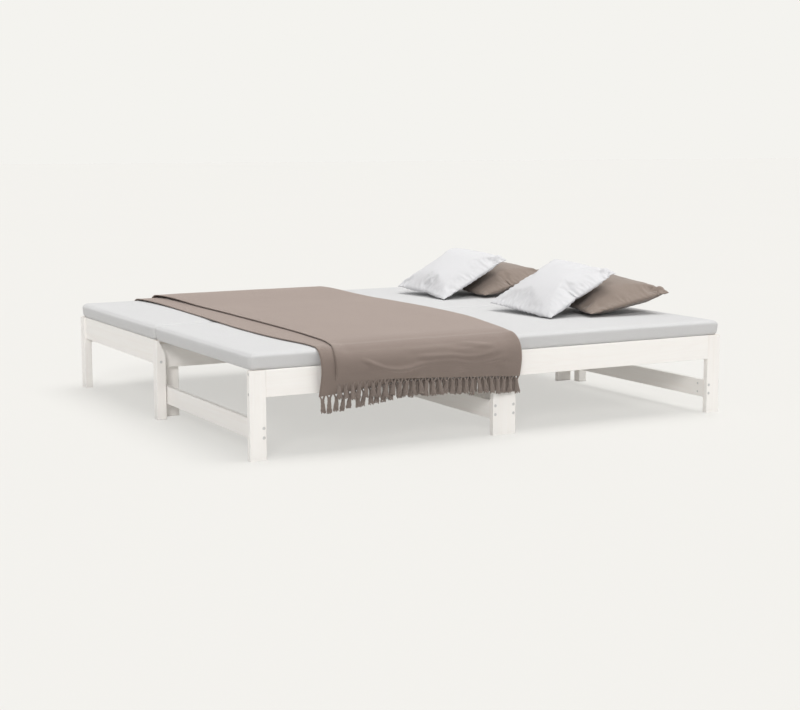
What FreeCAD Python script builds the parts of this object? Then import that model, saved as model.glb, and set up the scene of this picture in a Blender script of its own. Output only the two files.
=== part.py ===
import FreeCAD, Part
import math
import os

os.makedirs("parts", exist_ok=True)
Vector = FreeCAD.Vector
axis_x = Vector(1, 0, 0)
axis_y = Vector(0, 1, 0)
axis_z = Vector(0, 0, 1)

# Whole bed, drawn out as photographed, in millimetres.
# X runs along the bed, Y from the pull-out front to the back, Z up from the floor.
# The origin lies on the floor under the middle of the drawn-out frame.
bed_length = 2000.0
fixed_depth = 936.0
slide_travel = 830.0
closed_gap = 31.0
slide_clearance = 2.0
frame_height = 305.0
cut_overrun = 5.0

# Sawn pine boards with eased edges.
rail_height = 92.0
rail_thickness = 20.0
edge_ease = 1.5
slat_thickness = 18.0
slat_width = 95.0
fixed_slat_count = 9
slat_end_clearance = 2.0

# Pull-out front: legs are flat boards, rails butt between them flush with their faces.
front_leg_thickness = 23.0
corner_leg_width = 60.0
middle_leg_width = 96.0
cleat_height = 25.0
cleat_thickness = 20.0
cleat_end_inset = 120.0
stretcher_height = 68.0
stretcher_thickness = 19.0
stretcher_bottom = 59.0
rear_leg_width = 70.0
rear_leg_thickness = 20.0

# Fixed frame: square posts under the seam, end rails, back legs and back rails.
post_width = 38.0
post_edge_round = 3.0
post_chamfer_width = 28.0
post_chamfer_height = 59.0
end_rail_thickness = 24.0
end_rail_inset = 7.0
back_leg_width = 30.0
back_leg_depth = 50.0
back_rail_thickness = 20.0

# Furniture bolts with flush heads, and the barrel nuts that they draw up across the grain.
fastener_sides = 8
bolt_radius = 3.0
bolt_head_radius = 5.5
bolt_head_height = 3.5
bolt_reach = 42.0
bolt_tip = 8.0
hole_clearance = 0.4
nut_radius = 5.0
nut_length = 14.0
stretcher_bolt_spacing = 32.5
rail_bolt_inset = 12.5
post_bolt_inset = 10.0
middle_bolt_inset = 22.0

# Two foam pads of equal size meet over the posts; their sides bulge and draw in at top and bottom.
pad_thickness = 60.0
pad_corner_round = 34.0
pad_gap = 0.6
pad_draw_in = 22.0
pad_height_shares = (0.0, 0.12, 0.35, 0.65, 0.85, 0.95, 1.0)
pad_draw_in_shares = (0.45, 0.12, 0.0, 0.05, 0.25, 0.55, 1.0)

# Throw folded double across the bed, its bowed fold on the right and free edges on the left.
throw_layer = 4.0
throw_clearance = 1.0
throw_fold_front_x = 60.0
throw_fold_middle_x = 177.0
throw_fold_back_x = 113.0
throw_upper_edge_x = -655.0
throw_lower_edge_x = -760.0
throw_edge_round = 18.0
throw_upper_hem_left = 245.0
throw_upper_hem_right = 216.0
throw_lower_hem_left = 212.0
throw_lower_hem_right = 262.0
throw_back_hem = 222.0
throw_bow = 7.0
throw_bow_swing = 5.0
throw_fold_count = 3
throw_station_count = 7
tassel_length = 62.0
tassel_pitch = 26.0
tassel_top_width = 7.0
tassel_foot_width = 17.0
tassel_thickness = 6.0
tassel_clearance = 0.3

# Four scatter cushions of one size near the right end: a white one leans on a taupe one in each pair.
cushion_height = 370.0
cushion_width = 395.0
cushion_thickness = 112.0
cushion_rim = 7.0
cushion_flange = 20.0
cushion_draw_in = 14.0
cushion_clearance = 0.5
cushion_roll = 4.5
near_taupe_inset = 216.0
near_taupe_y = -449.0
near_taupe_tilt = 11.5
near_taupe_turn = -5.0
far_taupe_inset = 215.0
far_taupe_y = 422.0
far_taupe_tilt = 12.0
far_taupe_turn = 3.0
near_white_inset = 434.0
near_white_y = -384.0
far_white_inset = 425.0
far_white_y = 432.0
white_tilt = 26.5
white_turn = 2.2

bed_depth = fixed_depth + closed_gap + front_leg_thickness + slide_travel
front_face = -bed_depth / 2
back_face = bed_depth / 2
left_end = -bed_length / 2
right_end = bed_length / 2
slat_bottom = frame_height - slat_thickness
pad_top = frame_height + pad_thickness
low_rail_bottom = slat_bottom - rail_height
high_rail_bottom = frame_height - rail_height
front_leg_back = front_face + front_leg_thickness
post_face = back_face - fixed_depth
post_back = post_face + post_width
fixed_rail_back = post_back + rail_thickness
rear_leg_front = fixed_rail_back + slide_clearance
rear_leg_back = rear_leg_front + rear_leg_thickness
back_rail_front = back_face - back_rail_thickness
stretcher_top = stretcher_bottom + stretcher_height


def export(shape, name):
    shape.exportStep("parts/" + name + ".step")


def block(x0, x1, y0, y1, z0, z1):
    return Part.makeBox(x1 - x0, y1 - y0, z1 - z0, Vector(x0, y0, z0))


def edges_along(shape, along):
    """The straight edges of a board that run one way."""
    found = []
    for edge in shape.Edges:
        run = edge.Vertexes[-1].Point.sub(edge.Vertexes[0].Point)
        if abs(run.dot(along)) > run.Length / 2:
            found.append(edge)
    return found


def board(x0, x1, y0, y1, z0, z1, along):
    """A sawn board whose long edges are eased."""
    plain = block(x0, x1, y0, y1, z0, z1)
    return plain.makeChamfer(edge_ease, edges_along(plain, along))


def mirrored(shape):
    return shape.mirror(Vector(0, 0, 0), axis_x)


def prism(radius, length, start, way):
    """A small round bar with few sides, as the bolts and nuts repeat often."""
    side = axis_z.cross(way)
    corners = []
    for turn in range(fastener_sides):
        angle = math.radians(360 * turn / fastener_sides)
        corners.append(start + (side * math.cos(angle) + way.cross(side) * math.sin(angle)) * radius)
    return Part.Face(Part.makePolygon(corners + corners[:1])).extrude(way * length)


def bolt(head, way, reach):
    """A bolt whose flush head starts at the face point and whose shank runs along way."""
    top = prism(bolt_head_radius, bolt_head_height, head, way)
    return top.fuse(prism(bolt_radius, reach, head, way)).removeSplitter()


def bolt_hole(head, way, reach):
    start = head - way * cut_overrun
    seat = prism(bolt_head_radius + hole_clearance, bolt_head_height + cut_overrun, start, way)
    return seat.fuse(prism(bolt_radius + hole_clearance, reach + hole_clearance + cut_overrun, start, way))


def barrel_nut(face_point, into, hole):
    """A cross nut let in from a board's face, pierced for its bolt."""
    return prism(nut_radius, nut_length, face_point + into * hole_clearance, into).cut(hole)


def nut_hole(face_point, into):
    depth = nut_length + hole_clearance + hole_clearance + cut_overrun
    return prism(nut_radius + hole_clearance, depth, face_point - into * cut_overrun, into)


# Each group of like fasteners fills as the boards that it holds are made.
pull_out_bolts = []
pull_out_nuts = []
fixed_bolts = []
fixed_nuts = []

# Front legs and rails of the pull-out.
# Two bolts run through each corner leg's outer edge into the rail's end.
front_leg = board(left_end, left_end + corner_leg_width, front_face, front_leg_back, 0, frame_height, axis_z)
middle_left = -middle_leg_width / 2
middle_right = middle_leg_width / 2
front_leg_middle = board(middle_left, middle_right, front_face, front_leg_back, 0, frame_height, axis_z)
rail_left = left_end + corner_leg_width
rail_back = front_face + rail_thickness
front_rail = board(rail_left, middle_left, front_face, rail_back, high_rail_bottom, frame_height, axis_x)
rail_middle_y = front_face + rail_thickness / 2
rail_reach = corner_leg_width + bolt_reach
for bolt_z in (high_rail_bottom + rail_bolt_inset, frame_height - rail_bolt_inset):
    head = Vector(left_end, rail_middle_y, bolt_z)
    nut_face = Vector(rail_left + bolt_reach - bolt_tip, rail_back, bolt_z)
    hole = bolt_hole(head, axis_x, rail_reach)
    one_bolt = bolt(head, axis_x, rail_reach)
    one_nut = barrel_nut(nut_face, -axis_y, hole)
    front_leg = front_leg.cut(hole)
    front_rail = front_rail.cut([hole, nut_hole(nut_face, -axis_y)])
    pull_out_bolts += [one_bolt, mirrored(one_bolt)]
    pull_out_nuts += [one_nut, mirrored(one_nut)]

# Rear legs and rails of the pull-out, behind the fixed frame's front rail.
# The corner leg stands clear of the fixed post, in line with the stretcher.
rear_left = left_end + corner_leg_width - stretcher_thickness
rear_right = rear_left + rear_leg_width
rear_leg = board(rear_left, rear_right, rear_leg_front, rear_leg_back, 0, slat_bottom, axis_z)
rear_leg_middle = board(middle_left, middle_right, rear_leg_front, rear_leg_back, 0, slat_bottom, axis_z)
rear_rail = board(
    rear_right, middle_left, rear_leg_front, rear_leg_back, low_rail_bottom, slat_bottom, axis_x
)

# Low stretchers tie each front leg to the rear leg behind it: one at each end, a pair in the middle.
# Every end takes two bolts through the leg's face into barrel nuts let in from the side.
stretcher_middle_z = stretcher_bottom + stretcher_height / 2
stretcher_lefts = (left_end + corner_leg_width - stretcher_thickness, middle_left)
stretchers = []
for number, stretcher_left in enumerate(stretcher_lefts):
    stretcher_right = stretcher_left + stretcher_thickness
    bar = board(
        stretcher_left, stretcher_right, front_leg_back, rear_leg_front, stretcher_bottom, stretcher_top, axis_y
    )
    bolt_x = stretcher_left + stretcher_thickness / 2
    for step in (-stretcher_bolt_spacing / 2, stretcher_bolt_spacing / 2):
        bolt_z = stretcher_middle_z + step
        for face_y, way, leg_depth in (
            (front_face, axis_y, front_leg_thickness),
            (rear_leg_back, -axis_y, rear_leg_thickness),
        ):
            head = Vector(bolt_x, face_y, bolt_z)
            reach = leg_depth + bolt_reach
            hole = bolt_hole(head, way, reach)
            nut_y = face_y + way.y * (reach - bolt_tip)
            nut_face = Vector(stretcher_right, nut_y, bolt_z)
            bar = bar.cut([hole, nut_hole(nut_face, -axis_x)])
            nut = barrel_nut(nut_face, -axis_x, hole)
            one_bolt = bolt(head, way, reach)
            pull_out_bolts += [one_bolt, mirrored(one_bolt)]
            pull_out_nuts += [nut, mirrored(nut)]
            if number == 0 and face_y == front_face:
                front_leg = front_leg.cut(hole)
            elif number == 0:
                rear_leg = rear_leg.cut(hole)
            elif face_y == front_face:
                front_leg_middle = front_leg_middle.cut([hole, mirrored(hole)])
            else:
                rear_leg_middle = rear_leg_middle.cut([hole, mirrored(hole)])
    stretchers.append(bar)

# Slat cleat screwed along the back of the front rails; it also ties them behind the middle leg.
cleat_bottom = slat_bottom - cleat_height
cleat_left = left_end + cleat_end_inset
cleat_back = front_leg_back + cleat_thickness
cleat = board(cleat_left, -cleat_left, front_leg_back, cleat_back, cleat_bottom, slat_bottom, axis_x)
packer_bottom = cleat_bottom + edge_ease
packer = block(cleat_left, middle_left, rail_back, front_leg_back, packer_bottom, slat_bottom - edge_ease)
cleat = cleat.fuse([packer, mirrored(packer)])

# Fixed posts under the seam, chamfered at the top on the inner side, with softened edges.
post = block(left_end, left_end + post_width, post_face, post_back, 0, frame_height)
post = post.makeFillet(post_edge_round, edges_along(post, axis_z))
post_inner = left_end + post_width
chamfer_outline = [
    Vector(post_inner - post_chamfer_width, post_face - cut_overrun, frame_height),
    Vector(post_inner, post_face - cut_overrun, frame_height - post_chamfer_height),
    Vector(post_inner + cut_overrun, post_face - cut_overrun, frame_height - post_chamfer_height),
    Vector(post_inner + cut_overrun, post_face - cut_overrun, frame_height + cut_overrun),
    Vector(post_inner - post_chamfer_width, post_face - cut_overrun, frame_height + cut_overrun),
]
chamfer_face = Part.Face(Part.makePolygon(chamfer_outline + chamfer_outline[:1]))
post = post.cut(chamfer_face.extrude(axis_y * (post_width + cut_overrun + cut_overrun)))
post_middle = block(-post_width / 2, post_width / 2, post_face, post_back, 0, slat_bottom)
post_middle = post_middle.makeFillet(post_edge_round, edges_along(post_middle, axis_z))

# End rails run from the posts back to the back legs, set in from their outer faces.
# One bolt through post or leg draws up each end into a barrel nut let in from the inner face.
back_leg_front = back_face - back_leg_depth
end_rail_outer = left_end + end_rail_inset
end_rail_inner = end_rail_outer + end_rail_thickness
end_rail = board(end_rail_outer, end_rail_inner, post_back, back_leg_front, high_rail_bottom, frame_height, axis_y)
back_leg = board(left_end, left_end + back_leg_width, back_leg_front, back_face, 0, frame_height, axis_z)
end_bolt_x = end_rail_outer + end_rail_thickness / 2
end_bolt_z = high_rail_bottom + post_bolt_inset
for face_y, way, depth in ((post_face, axis_y, post_width), (back_face, -axis_y, back_leg_depth)):
    head = Vector(end_bolt_x, face_y, end_bolt_z)
    reach = depth + bolt_reach
    hole = bolt_hole(head, way, reach)
    nut_y = face_y + way.y * (reach - bolt_tip)
    nut_face = Vector(end_rail_inner, nut_y, end_bolt_z)
    end_rail = end_rail.cut([hole, nut_hole(nut_face, -axis_x)])
    if face_y == post_face:
        post = post.cut(hole)
    else:
        back_leg = back_leg.cut(hole)
    nut = barrel_nut(nut_face, -axis_x, hole)
    one_bolt = bolt(head, way, reach)
    fixed_bolts += [one_bolt, mirrored(one_bolt)]
    fixed_nuts += [nut, mirrored(nut)]

# Front rail of the fixed frame, behind the posts, and the low back rails either side of a middle leg.
fixed_front_rail = board(
    end_rail_inner, -end_rail_inner, post_back, fixed_rail_back, low_rail_bottom, slat_bottom, axis_x
)
back_leg_middle = board(middle_left, middle_right, back_rail_front, back_face, 0, slat_bottom, axis_z)
back_rail_left = left_end + back_leg_width
back_rail = board(
    back_rail_left, middle_left, back_rail_front, back_face, low_rail_bottom, slat_bottom, axis_x
)
for bolt_z in (low_rail_bottom + middle_bolt_inset, slat_bottom - middle_bolt_inset):
    middle_bolt = Vector(0, post_face, bolt_z)
    middle_reach = post_width + rail_thickness / 2
    middle_hole = bolt_hole(middle_bolt, axis_y, middle_reach)
    post_middle = post_middle.cut(middle_hole)
    fixed_front_rail = fixed_front_rail.cut(middle_hole)
    fixed_bolts.append(bolt(middle_bolt, axis_y, middle_reach))

# Slats of the two frames lie at one height and pass between each other when the bed is pushed in.
fixed_first = left_end + back_leg_width + slat_end_clearance
fixed_pitch = (bed_length - 2 * (back_leg_width + slat_end_clearance) - slat_width) / (fixed_slat_count - 1)
for number in range(fixed_slat_count):
    slat_left = fixed_first + number * fixed_pitch
    slat_right = slat_left + slat_width
    slat = board(slat_left, slat_right, post_back, back_face, slat_bottom, frame_height, axis_y)
    export(slat, "fixed_slat_" + str(number + 1))
for number in range(fixed_slat_count - 1):
    slat_left = fixed_first + number * fixed_pitch + fixed_pitch / 2
    slat_right = slat_left + slat_width
    slat = board(slat_left, slat_right, front_leg_back, rear_leg_back, slat_bottom, frame_height, axis_y)
    export(slat, "pull_out_slat_" + str(number + 1))

export(front_leg, "front_leg_left")
export(mirrored(front_leg), "front_leg_right")
export(front_leg_middle, "front_leg_middle")
export(front_rail, "front_rail_left")
export(mirrored(front_rail), "front_rail_right")
export(cleat, "front_slat_cleat")
export(rear_leg, "rear_leg_left")
export(mirrored(rear_leg), "rear_leg_right")
export(rear_leg_middle, "rear_leg_middle")
export(rear_rail, "rear_rail_left")
export(mirrored(rear_rail), "rear_rail_right")
export(stretchers[0], "stretcher_left")
export(mirrored(stretchers[0]), "stretcher_right")
export(stretchers[1], "stretcher_middle_left")
export(mirrored(stretchers[1]), "stretcher_middle_right")
export(Part.makeCompound(pull_out_bolts), "pull_out_bolts")
export(Part.makeCompound(pull_out_nuts), "pull_out_barrel_nuts")
export(post, "fixed_post_left")
export(mirrored(post), "fixed_post_right")
export(post_middle, "fixed_post_middle")
export(end_rail, "end_rail_left")
export(mirrored(end_rail), "end_rail_right")
export(fixed_front_rail, "fixed_front_rail")
export(back_leg, "back_leg_left")
export(mirrored(back_leg), "back_leg_right")
export(back_leg_middle, "back_leg_middle")
export(back_rail, "back_rail_left")
export(mirrored(back_rail), "back_rail_right")
export(Part.makeCompound(fixed_bolts), "fixed_bolts")
export(Part.makeCompound(fixed_nuts), "fixed_barrel_nuts")


def pad_ring(y0, y1, z, inset):
    """A rounded rectangle: the outline of a pad at one height."""
    west, east = left_end + inset, right_end - inset
    south, north = y0 + inset, y1 - inset
    turn = pad_corner_round - inset
    tip = turn - turn * math.sqrt(0.5)

    def at(x, y):
        return Vector(x, y, z)

    edges = [
        Part.LineSegment(at(west + turn, south), at(east - turn, south)),
        Part.Arc(at(east - turn, south), at(east - tip, south + tip), at(east, south + turn)),
        Part.LineSegment(at(east, south + turn), at(east, north - turn)),
        Part.Arc(at(east, north - turn), at(east - tip, north - tip), at(east - turn, north)),
        Part.LineSegment(at(east - turn, north), at(west + turn, north)),
        Part.Arc(at(west + turn, north), at(west + tip, north - tip), at(west, north - turn)),
        Part.LineSegment(at(west, north - turn), at(west, south + turn)),
        Part.Arc(at(west, south + turn), at(west + tip, south + tip), at(west + turn, south)),
    ]
    return Part.Wire([edge.toShape() for edge in edges])


def pad(y0, y1):
    rings = []
    for rise, draw in zip(pad_height_shares, pad_draw_in_shares):
        rings.append(pad_ring(y0, y1, frame_height + pad_thickness * rise, pad_draw_in * draw))
    return Part.makeLoft(rings, True, True)


# The pads meet over the posts with a hair of room between them.
front_pad = pad(front_face, -pad_gap / 2)
back_pad = pad(pad_gap / 2, back_face)
export(front_pad, "mattress_front")
export(back_pad, "mattress_back")


def throw_section(x, depth, front_hem, back_hem):
    """One crosswise cut of the throw: hangs at the front, lies over the pads, hangs at the back."""
    share = (x - throw_lower_edge_x) / (throw_fold_middle_x - throw_lower_edge_x)
    bow = throw_bow + throw_bow_swing * math.cos(2 * math.pi * throw_fold_count * share)
    inner = pad_top + throw_clearance
    outer = inner + depth
    front_in = front_face - throw_clearance
    back_in = back_face + throw_clearance
    turn = throw_edge_round

    def point(y, z):
        return Vector(x, y, z)

    def bend(y_centre, z_centre, radius, side):
        tip = radius * math.sqrt(0.5)
        return point(y_centre + side * tip, z_centre + tip)

    fall_top = inner - turn
    front_middle = (fall_top + front_hem) / 2
    back_middle = (fall_top + back_hem) / 2
    edges = [
        Part.Arc(point(front_in, front_hem), point(front_in - bow, front_middle), point(front_in, fall_top)),
        Part.Arc(
            point(front_in, fall_top),
            bend(front_in + turn, fall_top, turn, -1),
            point(front_in + turn, inner),
        ),
        Part.LineSegment(point(front_in + turn, inner), point(back_in - turn, inner)),
        Part.Arc(
            point(back_in - turn, inner),
            bend(back_in - turn, fall_top, turn, 1),
            point(back_in, fall_top),
        ),
        Part.Arc(point(back_in, fall_top), point(back_in + bow, back_middle), point(back_in, back_hem)),
        Part.LineSegment(point(back_in, back_hem), point(back_in + depth, back_hem)),
        Part.Arc(
            point(back_in + depth, back_hem),
            point(back_in + bow + depth, back_middle),
            point(back_in + depth, fall_top),
        ),
        Part.Arc(
            point(back_in + depth, fall_top),
            bend(back_in - turn, fall_top, turn + depth, 1),
            point(back_in - turn, outer),
        ),
        Part.LineSegment(point(back_in - turn, outer), point(front_in + turn, outer)),
        Part.Arc(
            point(front_in + turn, outer),
            bend(front_in + turn, fall_top, turn + depth, -1),
            point(front_in - depth, fall_top),
        ),
        Part.Arc(
            point(front_in - depth, fall_top),
            point(front_in - bow - depth, front_middle),
            point(front_in - depth, front_hem),
        ),
        Part.LineSegment(point(front_in - depth, front_hem), point(front_in, front_hem)),
    ]
    return Part.Wire([edge.toShape() for edge in edges])


# The single layer shows along the left; from the upper edge to the fold the cloth lies double.
# Both front hems hang out of level, the lower one rising to the right and the upper one falling.
double_depth = throw_layer + throw_layer
throw_right = throw_fold_middle_x + throw_edge_round


def upper_hem(x):
    share = (x - throw_upper_edge_x) / (throw_right - throw_upper_edge_x)
    return throw_upper_hem_left + (throw_upper_hem_right - throw_upper_hem_left) * share


def lower_hem(x):
    share = (x - throw_lower_edge_x) / (throw_right - throw_lower_edge_x)
    return throw_lower_hem_left + (throw_lower_hem_right - throw_lower_hem_left) * share


single_sections = []
for x in (throw_lower_edge_x, throw_upper_edge_x):
    single_sections.append(throw_section(x, throw_layer, lower_hem(x), throw_back_hem))
double_sections = []
for number in range(throw_station_count):
    x = throw_upper_edge_x + (throw_right - throw_upper_edge_x) * number / (throw_station_count - 1)
    double_sections.append(throw_section(x, double_depth, upper_hem(x), throw_back_hem))
single_part = Part.makeLoft(single_sections, True, True)
double_part = Part.makeLoft(double_sections, True, True)

# The fold bows to the right over the bed and runs back towards the left at both drops.
fall_room = throw_clearance + double_depth + throw_bow + throw_bow_swing + cut_overrun
fold_front = Vector(throw_fold_front_x, front_face - fall_room, 0)
fold_back = Vector(throw_fold_back_x, back_face + fall_room, 0)
beyond_front = Vector(throw_right + cut_overrun, front_face - fall_room, 0)
beyond_back = Vector(throw_right + cut_overrun, back_face + fall_room, 0)
fold_outline = [
    Part.Arc(fold_front, Vector(throw_fold_middle_x, 0, 0), fold_back),
    Part.LineSegment(fold_back, beyond_back),
    Part.LineSegment(beyond_back, beyond_front),
    Part.LineSegment(beyond_front, fold_front),
]
beyond_fold = Part.Face(Part.Wire([edge.toShape() for edge in fold_outline]))
double_part = double_part.cut(beyond_fold.extrude(axis_z * (pad_top + cushion_thickness)))
throw = single_part.fuse(double_part)


def tassel(x, y, hem, foot):
    """A knotted tassel, slim at the hem and fuller at its foot."""
    front = y - tassel_thickness / 2
    top = hem - tassel_clearance
    outline = [
        Vector(x - tassel_top_width / 2, front, top),
        Vector(x + tassel_top_width / 2, front, top),
        Vector(x + tassel_foot_width / 2, front, foot),
        Vector(x - tassel_foot_width / 2, front, foot),
    ]
    return Part.Face(Part.makePolygon(outline + outline[:1])).extrude(axis_y * tassel_thickness)


# Fringe rows hang from the front and back hems, to the foot of whichever layer hangs lower.
front_tassels = []
for number in range(int((throw_fold_front_x - throw_lower_edge_x) / tassel_pitch)):
    x = throw_lower_edge_x + tassel_pitch / 2 + number * tassel_pitch
    if x + tassel_top_width / 2 < throw_upper_edge_x:
        y = front_face - throw_clearance - throw_layer / 2
        front_tassels.append(tassel(x, y, lower_hem(x), lower_hem(x) - tassel_length))
    else:
        y = front_face - throw_clearance - double_depth / 2
        front_tassels.append(tassel(x, y, upper_hem(x), min(upper_hem(x), lower_hem(x)) - tassel_length))
back_tassels = []
for number in range(int((throw_fold_back_x - throw_lower_edge_x) / tassel_pitch)):
    x = throw_lower_edge_x + tassel_pitch / 2 + number * tassel_pitch
    depth = throw_layer if x + tassel_top_width / 2 < throw_upper_edge_x else double_depth
    y = back_face + throw_clearance + depth / 2
    back_tassels.append(tassel(x, y, throw_back_hem, throw_back_hem - tassel_length))
export(Part.makeCompound(front_tassels), "throw_fringe_front")
export(Part.makeCompound([throw] + back_tassels), "throw")


def cushion_slab(half, length, across):
    """A crowned slab: the profile across the cushion drawn out along its other side."""
    along = axis_z.cross(across)

    def point(reach, rise):
        return across * reach - along * (length / 2) + axis_z * rise

    rim = cushion_rim / 2
    crown = cushion_thickness / 2
    swell = half - cushion_flange
    edges = [
        Part.LineSegment(point(-half, -rim), point(-half, rim)),
        Part.LineSegment(point(-half, rim), point(-swell, rim)),
        Part.Arc(point(-swell, rim), point(0, crown), point(swell, rim)),
        Part.LineSegment(point(swell, rim), point(half, rim)),
        Part.LineSegment(point(half, rim), point(half, -rim)),
        Part.LineSegment(point(half, -rim), point(swell, -rim)),
        Part.Arc(point(swell, -rim), point(0, -crown), point(-swell, -rim)),
        Part.LineSegment(point(-swell, -rim), point(-half, -rim)),
    ]
    outline = Part.Wire([edge.toShape() for edge in edges])
    return Part.Face(outline).extrude(along * length)


def side_cut(half, span, out):
    """A large upright round that draws one side in between its two tips."""
    radius = (span * span / 4 + cushion_draw_in * cushion_draw_in) / (2 * cushion_draw_in)
    middle = out * (half + radius - cushion_draw_in)
    return Part.makeCylinder(radius, cushion_thickness, middle - axis_z * (cushion_thickness / 2))


def cushion():
    """A stuffed cushion lying flat on the origin: crowned both ways, sides drawn in between the tips."""
    half_height = cushion_height / 2
    half_width = cushion_width / 2
    lengthwise = cushion_slab(half_height, cushion_width, axis_x)
    form = lengthwise.common(cushion_slab(half_width, cushion_height, axis_y))
    cuts = []
    for way in (1, -1):
        cuts.append(side_cut(half_height, cushion_width, axis_x * way))
        cuts.append(side_cut(half_width, cushion_height, axis_y * way))
    return form.cut(cuts).removeSplitter()


def settled(inset, y, tilt, turn, others):
    """A cushion that leans and turns, let down until it lies a hair clear of what is under it."""
    form = cushion()
    form.rotate(Vector(0, 0, 0), axis_x, cushion_roll)
    form.rotate(Vector(0, 0, 0), axis_y, -tilt)
    form.rotate(Vector(0, 0, 0), axis_z, turn)
    form.translate(Vector(right_end - inset, y, pad_top + cushion_width))
    for step in range(40):
        room = min(form.distToShape(other)[0] for other in others) - cushion_clearance
        if room < cushion_clearance / 10:
            break
        form.translate(-axis_z * room)
    return form


# Each taupe cushion settles on its pad, then the white one settles against both.
near_taupe = settled(near_taupe_inset, near_taupe_y, near_taupe_tilt, near_taupe_turn, [front_pad])
near_white = settled(near_white_inset, near_white_y, white_tilt, white_turn, [front_pad, near_taupe])
far_taupe = settled(far_taupe_inset, far_taupe_y, far_taupe_tilt, far_taupe_turn, [back_pad])
far_white = settled(far_white_inset, far_white_y, white_tilt, white_turn, [back_pad, far_taupe])
export(near_taupe, "cushion_near_taupe")
export(near_white, "cushion_near_white")
export(far_taupe, "cushion_far_taupe")
export(far_white, "cushion_far_white")
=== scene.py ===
import math

import bmesh
import bpy
import numpy as np
from mathutils import Matrix, Vector, noise
from mathutils.bvhtree import BVHTree


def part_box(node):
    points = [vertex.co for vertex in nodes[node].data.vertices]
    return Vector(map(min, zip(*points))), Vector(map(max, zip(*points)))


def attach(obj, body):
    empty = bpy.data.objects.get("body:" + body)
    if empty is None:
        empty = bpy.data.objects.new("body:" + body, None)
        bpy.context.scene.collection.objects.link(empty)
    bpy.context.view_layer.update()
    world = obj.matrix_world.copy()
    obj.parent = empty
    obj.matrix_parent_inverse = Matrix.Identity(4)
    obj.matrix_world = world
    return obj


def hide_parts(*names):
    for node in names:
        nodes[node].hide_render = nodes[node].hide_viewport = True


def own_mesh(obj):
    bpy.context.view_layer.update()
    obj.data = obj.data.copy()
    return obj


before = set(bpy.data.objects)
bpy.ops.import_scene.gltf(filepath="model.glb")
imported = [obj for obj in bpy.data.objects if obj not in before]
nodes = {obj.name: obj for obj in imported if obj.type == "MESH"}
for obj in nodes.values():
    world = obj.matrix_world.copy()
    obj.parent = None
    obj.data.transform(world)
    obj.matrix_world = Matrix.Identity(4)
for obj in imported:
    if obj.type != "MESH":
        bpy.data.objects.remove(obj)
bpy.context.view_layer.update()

scene = bpy.context.scene
scene.view_settings.view_transform = "Standard"

# Boards of the fixed half: posts, end rails, back legs and rails, and nine slats on top.
# They are planed pine under a thin white wash, so grain and a few knots show through faintly.
# Long edges are eased, ends are sawn square, and butt joints are drawn up by bolts.
def add_node(tree, kind, **values):
    node = tree.nodes.new(kind)
    for key, value in values.items():
        setattr(node, key, value)
    return node


def feed(tree, node, **sockets):
    for key, value in sockets.items():
        numbered = key[0] == "i" and key[1:].isdigit()
        socket = node.inputs[int(key[1:]) if numbered else key.replace("_", " ")]
        if hasattr(value, "is_output"):
            tree.links.new(value, socket)
        else:
            socket.default_value = value
    return node


def new_group(name, inputs, outputs):
    group = bpy.data.node_groups.new(name, "ShaderNodeTree")
    for label, kind in inputs:
        group.interface.new_socket(label, in_out="INPUT", socket_type=kind)
    for label, kind in outputs:
        group.interface.new_socket(label, in_out="OUTPUT", socket_type=kind)
    return group, group.nodes.new("NodeGroupInput"), group.nodes.new("NodeGroupOutput")


def scaled(tree, vector, size):
    node = add_node(tree, "ShaderNodeVectorMath", operation="MULTIPLY")
    return feed(tree, node, i0=vector, i1=size).outputs[0]


def clouded(tree, **sockets):
    return feed(tree, add_node(tree, "ShaderNodeTexNoise"), **sockets).outputs[0]


def ranged(tree, value, low, high, to_low, to_high):
    node = add_node(tree, "ShaderNodeMapRange")
    return feed(tree, node, i0=value, i1=low, i2=high, i3=to_low, i4=to_high).outputs[0]


def combined(tree, operation, first, second):
    return feed(tree, add_node(tree, "ShaderNodeMath", operation=operation), i0=first, i1=second).outputs[0]


def tinted(tree, share, first, second):
    node = add_node(tree, "ShaderNodeMix", data_type="RGBA")
    return feed(tree, node, i0=share, i6=first, i7=second).outputs[2]


wash_white = (0.885, 0.868, 0.842, 1)
wash_streak = (0.81, 0.742, 0.695, 1)
knot_tint = (0.60, 0.455, 0.36, 1)
end_tint = (0.74, 0.67, 0.60, 1)
streak_stretch = (2.2, 95, 95)
swell_stretch = (0.9, 11, 11)
patch_stretch = (1.6, 5, 5)
knot_stretch = (2.3, 8.5, 8.5)
ring_count = 85.0
streak_share, ring_share, halo_share, knot_share, end_share = 0.38, 0.07, 0.16, 0.42, 0.55
streak_height, ring_height = 0.7, 0.3
grain_bump, grain_depth = 0.35, 0.0006
pine, pine_in, pine_out = new_group(
    "washed_pine",
    [("Place", "NodeSocketVector"), ("End", "NodeSocketFloat")],
    [("Color", "NodeSocketColor"), ("Roughness", "NodeSocketFloat"), ("Height", "NodeSocketFloat")],
)
place = pine_in.outputs["Place"]
streaks = clouded(pine, Vector=scaled(pine, place, streak_stretch), Scale=1.0, Detail=5.0, Roughness=0.62)
swell = clouded(pine, Vector=scaled(pine, place, swell_stretch), Scale=1.0, Detail=2.0, Roughness=0.45)
rings = combined(pine, "SINE", combined(pine, "MULTIPLY", swell, ring_count), 0.0)
late_wood = ranged(pine, rings, 0.2, 1.0, 0.0, 1.0)
patches = clouded(pine, Vector=scaled(pine, place, patch_stretch), Scale=1.0, Detail=2.0)
knot_cells = feed(pine, add_node(pine, "ShaderNodeTexVoronoi"), Vector=scaled(pine, place, knot_stretch),
                  Scale=1.0, Randomness=1.0).outputs[0]
knots = ranged(pine, knot_cells, 0.05, 0.13, 1.0, 0.0)
halo = ranged(pine, knot_cells, 0.08, 0.32, 1.0, 0.0)


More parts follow.
